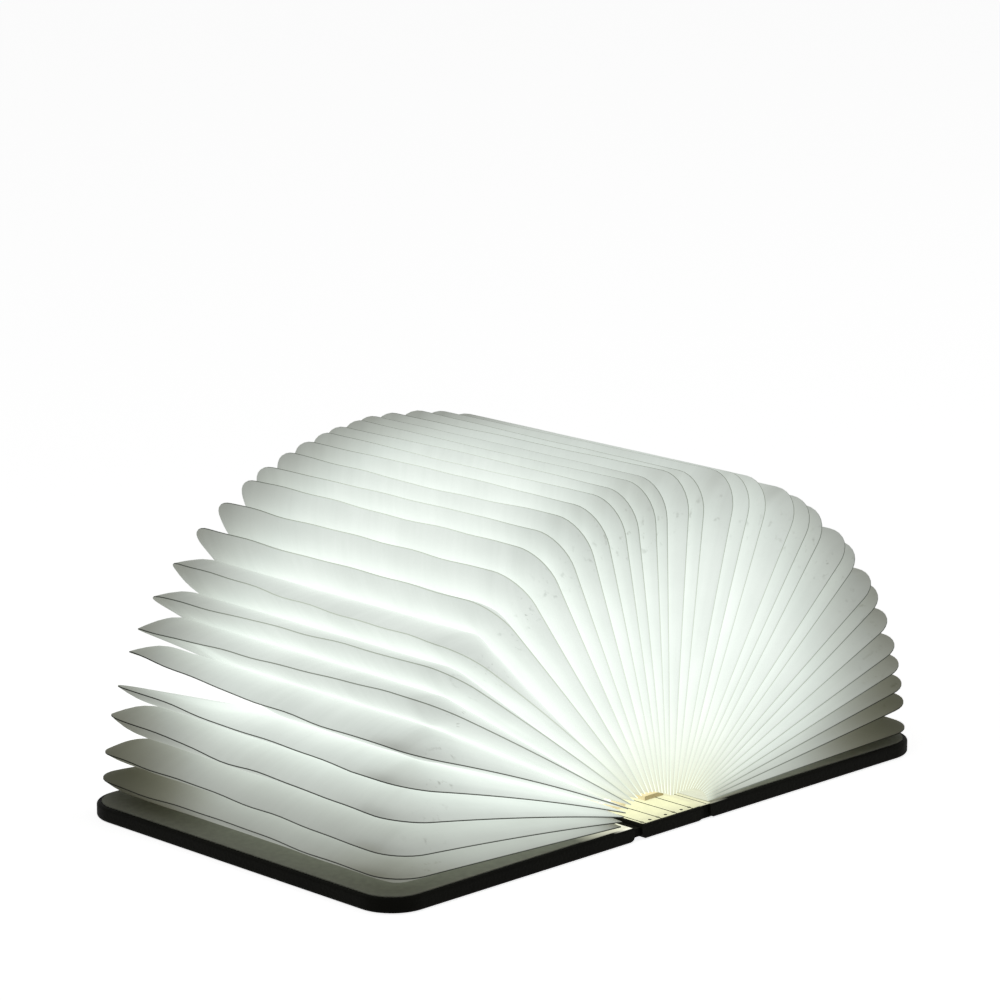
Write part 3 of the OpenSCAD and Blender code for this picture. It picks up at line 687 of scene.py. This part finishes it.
def makePocket(k, side):
    first = rootS(k - 0.5, side)
    length = tipS(k - 0.5, side) - first
    w = turnShare(k - 0.5, side)
    sheetS, sheetY = sheetGrid(length)
    points, light = pocketWalls(k, side, sheetS, sheetY, first, length)
    faces, wallCount, footCount, rimCount = pocketFaces(*sheetS.shape)
    if side == "left":
        faces = faces[:, ::-1]
    mesh = bpy.data.meshes.new(f"pocket_{side}_{k}")
    mesh.from_pydata(points.tolist(), [], faces.tolist())
    isSeam = np.repeat([0, 1], [wallCount + footCount, rimCount])
    mesh.polygons.foreach_set("material_index", isSeam.astype(np.int32))
    mesh.polygons.foreach_set("use_smooth",
                              np.repeat([True, False], [wallCount, footCount + rimCount]))
    wash = along(warmValues[side], w) * np.exp(-sheetS / warmValues["reach"])
    crumple = crumpleShare(sheetS, sheetY, length, k, side)
    writeField(mesh, "glow", light)
    writeField(mesh, "warm", np.tile(wash.ravel(), 2))
    writeField(mesh, "crumple", np.tile(crumple.ravel(), 2))
    writeField(mesh, "seamLightLevel", np.full(len(points), along(seamLevel[side], w)))
    layer = mesh.uv_layers.new(name="sheet")
    corner = np.empty(len(mesh.loops), np.int32)
    mesh.loops.foreach_get("vertex_index", corner)
    flat = np.stack([np.tile(sheetS.ravel(), 2), np.tile(sheetY.ravel(), 2)], 1)
    flat = flat * mm * paperValues["uvScale"] + paperValues["uvStep"] * k
    layer.data.foreach_set("uv", flat[corner].astype(np.float32).ravel())
    mesh.update()
    piece = bpy.data.objects.new(f"pocket_{side}_{k}", mesh)
    bpy.context.scene.collection.objects.link(piece)
    mesh.materials.append(pagePaper)
    mesh.materials.append(seamPaper)
    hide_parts(f"page_{side}_{k}")
    blendPocket(piece)


# Bakes the pocket's placement into its mesh.
def blendPocket(piece):
    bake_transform(piece)


paperValues = {
    "uvScale": 10,       # UV units in a metre
    "uvStep": 0.37,      # each pocket's shift, so that no two look alike
    "base": (0.3, 0.31, 0.29),
    "roughness": 0.85,
    "specular": 0.2,
    # the base colour follows the glow: darker and olive where it is low, which is painted shade
    "baseStops": [(0.0, (0.20, 0.20, 0.15)), (0.3, (0.26, 0.28, 0.255)),
                  (1.0, (0.27, 0.29, 0.28))],
    "glowStops": [(0.0, (1.0, 1.0, 0.62)), (0.06, (1.0, 1.0, 0.72)),
                  (0.15, (0.98, 1.0, 0.85)), (0.3, (0.955, 1.0, 0.92)),
                  (0.6, (0.93, 1.0, 0.94)), (1.0, (0.95, 1.0, 0.955))],
    "warmGlow": (1.0, 1.0, 0.74),
    # Noise: scale, detail, roughness, coordinates, stretch.
    "cloudNoise": (5.0, 4, 0.55, "UV"),
    "streakNoise": (10.0, 4, 0.65, "UV", (0.12, 4.0, 1)),
    "fibreNoise": (90.0, 3, 0.6, "UV", (1, 0.35, 1)),
    "creaseNoise": (42.0, 2, 0.5, "UV", (1, 1.3, 1)),
    # What a noise from the first number to the second becomes.
    "cloud": (0.3, 0.7, 0.95, 1.04),
    "streak": (0.3, 0.7, 0.97, 1.02),
    # creaseShade: painted shade of the creases, only in the crumpled patches
    "creaseShade": (0.60, 0.74, 0.0, 0.55),
    # Depth in metres, and strength.
    "cloudBump": (0.0004, 0.5),
    "fibreBump": (0.00006, 0.5),
}


# Paper lit from inside: the glow field, clouded, streaked and darkened by painted shade of
# creases in the crumpled patches, tinted by its own brightness and washed with cream at the
# root.
def makePaper():
    value = paperValues
    material, tree = newMaterial("pagePaper")
    shader = principled(tree, value["base"], value["roughness"], specular=value["specular"])
    glow = addNode(tree, "ShaderNodeAttribute", attribute_name="glow")
    warm = addNode(tree, "ShaderNodeAttribute", attribute_name="warm")
    crumple = addNode(tree, "ShaderNodeAttribute", attribute_name="crumple")
    cloud = noise(tree, *value["cloudNoise"])
    streak = noise(tree, *value["streakNoise"])
    fibre = noise(tree, *value["fibreNoise"])
    creases = noise(tree, *value["creaseNoise"])
    lift = spread(tree, cloud, *value["cloud"])
    lines = spread(tree, streak, *value["streak"])
    # painted shade of the creases, where the paper is crumpled
    creaseShadeShare = times(tree, crumple, spread(tree, creases, *value["creaseShade"]), "Fac")
    rest = addNode(tree, "ShaderNodeMath", operation="SUBTRACT")
    rest.inputs[0].default_value = 1
    link(tree, creaseShadeShare, 0, rest, 1)
    light = times(tree, times(tree, glow, rest, "Fac"), lift)
    cream = mixColour(tree, warm, "Fac", ramp(tree, light, value["glowStops"]),
                      value["warmGlow"])
    link(tree, cream, 2, shader, "Emission Color")
    link(tree, times(tree, light, lines), 0, shader, "Emission Strength")
    # painted shade: the base colour darkens with the glow
    link(tree, ramp(tree, light, value["baseStops"]), 0, shader, "Base Color")
    first = bump(tree, cloud, 0, shader, *value["cloudBump"])
    bump(tree, fibre, 0, shader, *value["fibreBump"], first)
    return material


seamPaperValues = {
    "base": (0.10, 0.105, 0.085),
    "baseStops": [(0.3, (0.05, 0.053, 0.043)), (0.7, (0.09, 0.095, 0.075))],
    "roughness": 0.9,
    "specular": 0.1,
    "fibre": 900.0,
    "glow": (0.9, 1.0, 0.85),
    "power": 2.2,
    "gain": 1.05,
    "warmGain": 0.62,
}


# The glued edge lets through only a share of the light beside it: a power of the glow, plus the
# warm wash, times the pocket's own seam light level, which carries painted shade on the lowest
# left pages.
def makeSeamPaper():
    value = seamPaperValues
    material, tree = newMaterial("seamPaper")
    shader = principled(tree, value["base"], value["roughness"], specular=value["specular"])
    shader.inputs["Emission Color"].default_value = (*value["glow"], 1)
    glow = addNode(tree, "ShaderNodeAttribute", attribute_name="glow")
    warm = addNode(tree, "ShaderNodeAttribute", attribute_name="warm")
    seamLit = addNode(tree, "ShaderNodeAttribute", attribute_name="seamLightLevel")
    share = addNode(tree, "ShaderNodeMath", operation="POWER")
    share.inputs[1].default_value = value["power"]
    link(tree, glow, "Fac", share, 0)
    wash = addNode(tree, "ShaderNodeMath", operation="MULTIPLY_ADD")
    wash.inputs[1].default_value = value["warmGain"]
    link(tree, warm, "Fac", wash, 0)
    link(tree, times(tree, share, value["gain"]), 0, wash, 2)
    link(tree, times(tree, seamLit, wash, "Fac"), 0, shader, "Emission Strength")
    tint = ramp(tree, noise(tree, value["fibre"]), value["baseStops"])
    link(tree, tint, 0, shader, "Base Color")
    return material


pagePaper = makePaper()
seamPaper = makeSeamPaper()
for side in ("left", "right"):
    for k in range(1, pageValues["pockets"] + 1):
        makePocket(k, side)
print("the page pockets are made")


stripValues = {
    "gap": 1.35,
    "play": 0.05,
    "bottomRound": 2.3,
    "topRound": 1.0,
    "coverTop": 4.0,
    "halfLength": 60.2,
    "bend": 2.2,                # half of the width over which a strip bends
    "left": {"low": 1.0, "top": 3.3},
    "right": {"low": 0.22, "top": 3.9},
    "facing": (-1.98, 1.95),    # the right strip's paper facing, and the dark line in it
    "facingZ": (3.94, 4.2),
    "line": (0.30, 0.62),
    "columns": 19,
    "heights": 15,
    "rings": 25,
    "facingColumns": 24,
    "padding": (0.006, 0.006, 0.005),
    "paddingStops": [(0.3, (0.004, 0.004, 0.003)), (0.7, (0.009, 0.009, 0.007))],
    "paddingFinish": (0.8, 0.0, 0.05),    # roughness, metal and specular
    "paper": (0.5, 0.49, 0.38),
    "paperStops": [(0.3, (0.42, 0.41, 0.31)), (0.7, (0.5, 0.49, 0.38))],
    "paperRoughness": 0.85,
    "paperGlow": (1.0, 0.99, 0.72),
    "paperLevel": 0.48,
    "paddingNoise": (1500, 4),
    "paddingBump": (0.00008, 0.6),
    "paperNoise": (500, 4),
    "paperBump": (0.00005, 0.5),
}


# Half width of the padding at a height: straight beside the edges' flat parts, and
# following their rounds below and above.
def padHalf(z):
    value = stripValues
    low = z < value["bottomRound"]
    r = np.where(low, value["bottomRound"], value["topRound"])
    dz = np.where(low, value["bottomRound"] - z,
                  np.maximum(z - value["coverTop"] + value["topRound"], 0))
    return value["gap"] + r - np.sqrt((r + value["play"]) ** 2 - dz ** 2)


# Sweeps a closed outline (x, z) along y, each ring a copy of it, with a cap at each end.
def sweep(loop, lengths):
    n, rings = len(loop), len(lengths)
    points = np.stack([np.tile(loop[:, 0], rings), np.repeat(lengths, n),
                       np.tile(loop[:, 1], rings)], 1)
    r, i = np.meshgrid(np.arange(rings - 1), np.arange(n), indexing="ij")
    a, b = (r * n + i).ravel(), (r * n + (i + 1) % n).ravel()
    sides = np.stack([a, b, b + n, a + n], 1)
    ends = [np.arange(n)[::-1].tolist(), ((rings - 1) * n + np.arange(n)).tolist()]
    return points, sides.tolist() + ends


# The outline of the padding, walked round a grid of columns close enough to bend.
def paddingLoop(side):
    value = stripValues
    columns = np.linspace(-1, 1, value["columns"])
    heights = np.linspace(value[side]["low"], value[side]["top"], value["heights"])
    grid = np.stack([columns[None, :] * padHalf(heights)[:, None],
                     np.repeat(heights[:, None], len(columns), 1)], -1)
    return np.concatenate([grid[0], grid[1:, -1], grid[-1, -2::-1], grid[-2:0:-1, 0]])


# The paper facing: a thin sheet over the padding, with 2 for the faces of its dark line
# and 1 for the rest.
def facingSheet(lengths):
    value = stripValues
    stops = np.linspace(*value["facing"], value["facingColumns"])
    stops = np.unique(np.concatenate([stops, value["line"]]))
    under, over = value["facingZ"]
    loop = np.concatenate([np.stack([stops, np.full(len(stops), under)], 1),
                           np.stack([stops[::-1], np.full(len(stops), over)], 1)])
    points, faces = sweep(loop, lengths)
    middle = (stops[:-1] + stops[1:]) / 2
    dark = (middle > value["line"][0]) & (middle < value["line"][1])
    around = np.concatenate([dark, [False], dark[::-1], [False]])
    marks = np.where(np.tile(around, len(lengths) - 1), 2, 1)
    return points, faces, np.concatenate([marks, [1, 1]])


# A strip is its cross outline swept along the spine. Its material slots are the dark
# padding, the paper facing on top, and the dark line in it.
def makeStrip(side):
    value = stripValues
    lengths = np.linspace(-value["halfLength"], value["halfLength"], value["rings"])
    points, faces = sweep(paddingLoop(side), lengths)
    marks = np.zeros(len(faces))
    if side == "right":
        more, moreFaces, moreMarks = facingSheet(lengths)
        faces += [[i + len(points) for i in face] for face in moreFaces]
        points = np.concatenate([points, more])
        marks = np.concatenate([marks, moreMarks])
        faces = [face[::-1] for face in faces]
    points[:, 0] = sign[side] * (pageValues["hingeX"] + points[:, 0])
    mesh = bpy.data.meshes.new(f"hingeStrip_{side}")
    mesh.from_pydata((points * mm).tolist(), [], faces)
    mesh.polygons.foreach_set("material_index", marks.astype(np.int32))
    mesh.update()
    piece = bpy.data.objects.new(f"hingeStrip_{side}", mesh)
    bpy.context.scene.collection.objects.link(piece)
    for material in (stripPadding, facingPaper, stripPadding):
        mesh.materials.append(material)
    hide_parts(f"{side}_hinge_strip")
    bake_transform(piece)


def makeStripMaterials():
    value = stripValues
    padding, tree = newMaterial("stripPadding")
    shader = principled(tree, value["padding"], *value["paddingFinish"])
    weave = noise(tree, *value["paddingNoise"])
    bump(tree, weave, 0, shader, *value["paddingBump"])
    link(tree, ramp(tree, weave, value["paddingStops"]), 0, shader, "Base Color")
    facing, tree = newMaterial("facingPaper")
    shader = principled(tree, value["paper"], value["paperRoughness"])
    grain = noise(tree, *value["paperNoise"])
    link(tree, ramp(tree, grain, value["paperStops"]), 0, shader, "Base Color")
    bump(tree, grain, 0, shader, *value["paperBump"])
    shader.inputs["Emission Color"].default_value = (*value["paperGlow"], 1)
    shader.inputs["Emission Strength"].default_value = value["paperLevel"]
    return padding, facing


stripPadding, facingPaper = makeStripMaterials()
for side in ("left", "right"):
    makeStrip(side)
print("the hinge strips are made")


leatherValues = {
    "base": (0.006, 0.006, 0.004),
    "stops": [(0.3, (0.003, 0.003, 0.002)), (0.7, (0.007, 0.007, 0.005))],
    "roughness": 0.68,
    "specular": 0.05,
    "grainNoise": (1400, 4, 0.65),
    "cloudNoise": (60, 3),
    "cells": 1100,
    "grainBump": (0.0001, 0.5),
    "cellBump": (0.00012, 0.6),
}


# Near-black leatherette: a fine grain over small cells.
def leather(name):
    value = leatherValues
    material, tree = newMaterial(name)
    shader = principled(tree, value["base"], value["roughness"], specular=value["specular"])
    grain = noise(tree, *value["grainNoise"])
    cells = addNode(tree, "ShaderNodeTexVoronoi")
    cells.inputs["Scale"].default_value = value["cells"]
    place = addNode(tree, "ShaderNodeTexCoord")
    link(tree, place, "Object", cells, "Vector")
    tint = ramp(tree, noise(tree, *value["cloudNoise"]), value["stops"])
    link(tree, tint, 0, shader, "Base Color")
    first = bump(tree, grain, 0, shader, *value["grainBump"])
    bump(tree, cells, "Distance", shader, *value["cellBump"], first)
    return material


# dark: the share of the colour kept in the painted shade of the grain's hollows
plainValues = {"detail": 4, "dark": 0.82, "stops": (0.3, 0.7), "bump": (0.00005, 0.5)}


# An even finish with a fine grain, a little darker in its hollows, which is painted shade; a
# glow is a colour and a strength.
def plain(name, base, roughness, scale, metallic=0.0, glow=None):
    material, tree = newMaterial(name)
    shader = principled(tree, base, roughness, metallic)
    grain = noise(tree, scale, plainValues["detail"])
    dark = tuple(v * plainValues["dark"] for v in base)
    tint = ramp(tree, grain, list(zip(plainValues["stops"], (dark, base))))
    link(tree, tint, 0, shader, "Base Color")
    bump(tree, grain, 0, shader, *plainValues["bump"])
    if glow:
        shader.inputs["Emission Color"].default_value = (*glow[:3], 1)
        shader.inputs["Emission Strength"].default_value = glow[3]
    return material


def openMaterial(material):
    tree = material.node_tree
    return tree, next(n for n in tree.nodes if n.type == "BSDF_PRINCIPLED")


def tintOf(shader):
    return shader.inputs["Base Color"].links[0].from_node


# Lets a surface glow in one colour, at a strength worked out by a node.
def shine(tree, shader, colour, strength):
    shader.inputs["Emission Color"].default_value = (*colour, 1)
    link(tree, strength, 0, shader, "Emission Strength")


skinValues = {
    "paper": (0.5, 0.5, 0.42),
    "glow": (1.0, 1.0, 0.85),
    "level": {"left": 0.8, "right": 0.12},
    "edge": (9.0, 4.0),       # distance from the hinge line over which the paper ends
    "height": (3.9, 3.96),
}


# The skin of a cover, with the end paper pasted over its inner edge on top.
def coverSkin(side):
    value = skinValues
    material = leather(f"{side}CoverSkin")
    tree, shader = openMaterial(material)
    edge = [sign[side] * (pageValues["hingeX"] + x) for x in value["edge"]]
    paper = times(tree, axisShare(tree, "Z", *value["height"]), axisShare(tree, "X", *edge))
    mix = mixColour(tree, paper, 0, tintOf(shader), value["paper"])
    link(tree, mix, 2, shader, "Base Color")
    shine(tree, shader, value["glow"], times(tree, paper, value["level"][side]))
    return material


linerValues = {
    "finish": ((0.34, 0.35, 0.28), 0.85, 500),
    "glow": (1.0, 1.0, 0.8),
    "level": {"left": 0.7, "right": 0.12},
    "reach": (34.0, 19.0),    # distance from the middle over which the light comes up
}


# The paper inside a cover: lit beside the spine, in shadow under the pages.
def linerPaper(side):
    value = linerValues
    material = plain(f"{side}LinerPaper", *value["finish"])
    tree, shader = openMaterial(material)
    share = axisShare(tree, "X", *(sign[side] * x for x in value["reach"]))
    shine(tree, shader, value["glow"], times(tree, share, value["level"][side]))
    return material


deckValues = {
    "finish": ((0.5, 0.5, 0.36), 0.8, 600),
    # below: the painted shade colour of the holes, grooves and faces under the top
    "below": (0.03, 0.03, 0.02),
    "glow": (1.0, 1.0, 0.70),
    "level": (0.38, 0.56),       # at the near end, and further in
    "nearEnd": (-63.0, -56.0),
    "height": (4.05, 4.22),
    "upward": 0.7,
}


# The deck card glows only on its upper face, and its holes, grooves and lower faces take a
# near-black colour, painted shade, so they stay dark.
def deckLook():
    value = deckValues
    material = plain("deckCard", *value["finish"])
    tree, shader = openMaterial(material)
    shape = addNode(tree, "ShaderNodeNewGeometry")
    apart = addNode(tree, "ShaderNodeSeparateXYZ")
    link(tree, shape, "Normal", apart, 0)
    up = addNode(tree, "ShaderNodeMath", operation="GREATER_THAN")
    up.inputs[1].default_value = value["upward"]
    link(tree, apart, "Z", up, 0)
    share = times(tree, up, axisShare(tree, "Z", *value["height"]))
    mix = mixColour(tree, share, 0, value["below"], tintOf(shader))
    link(tree, mix, 2, shader, "Base Color")
    level = spread(tree, axisShare(tree, "Y", *value["nearEnd"]), 0.0, 1.0, *value["level"])
    shine(tree, shader, value["glow"], times(tree, share, level))
    return material


filmValues = {
    "finish": ((0.42, 0.33, 0.17), 0.5, 400),
    "glow": (1.0, 0.93, 0.6),
    "level": 0.5,
    "endLevel": {"left": 0.5, "right": 0.10},
    "end": (-46.98, -46.8),
    "corner": (10.6, 9.4),       # across the right strip, dark to lit
}


# The light strip's film: lit along its sides, tan at its ends, dark at one corner.
def stripLook(side):
    value = filmValues
    material = plain(f"{side}StripFilm", *value["finish"])
    tree, shader = openMaterial(material)
    inward = spread(tree, axisShare(tree, "Y", *value["end"]), 0.0, 1.0,
                    value["endLevel"][side], value["level"])
    corner = axisShare(tree, "X", *value["corner"])
    shine(tree, shader, value["glow"], times(tree, inward, corner))
    return material


# Colour, roughness and grain scale, then the metal's share and the glow where there is one.
plainLooks = {
    "boardCore": ((0.22, 0.16, 0.10), 0.9, 700),
    "trayPlastic": ((0.02, 0.02, 0.02), 0.5, 800),
    "cellFoil": ((0.5, 0.51, 0.53), 0.35, 900, 0.8),
    "circuitMask": ((0.02, 0.12, 0.05), 0.4, 500),
    "socketSteel": ((0.5, 0.5, 0.5), 0.3, 1200, 1.0),
    "reedGlass": ((0.3, 0.42, 0.28), 0.15, 600),
    "leadSleeve": ((0.6, 0.56, 0.46), 0.5, 900),
    "lampCap": ((0.8, 0.7, 0.4), 0.4, 900, 0.0, (1.0, 0.92, 0.7, 3.0)),
    "magnetPlate": ((0.5, 0.51, 0.52), 0.3, 900, 1.0),
}


def dress():
    made = {name: plain(name, *look) for name, look in plainLooks.items()}
    looks = {
        "spine_skin": leather("leatherette"),
        "spine_tray": made["trayPlastic"],
        "spine_deck": deckLook(),
        "battery": made["cellFoil"],
        "charge_board": made["circuitMask"],
        "usb_socket": made["socketSteel"],
        "reed_switch": made["reedGlass"],
        "leads": made["leadSleeve"],
        "leds": made["lampCap"],
    }
    for side in ("left", "right"):
        looks.update({
            f"led_strip_{side}": stripLook(side),
            f"{side}_skin": coverSkin(side),
            f"{side}_board": made["boardCore"],
            f"{side}_magnets": made["magnetPlate"],
            f"{side}_liner": linerPaper(side),
        })
    for name, material in looks.items():
        for place in nodes[name].material_slots:
            place.material = material


dress()
print("the solid parts are dressed")
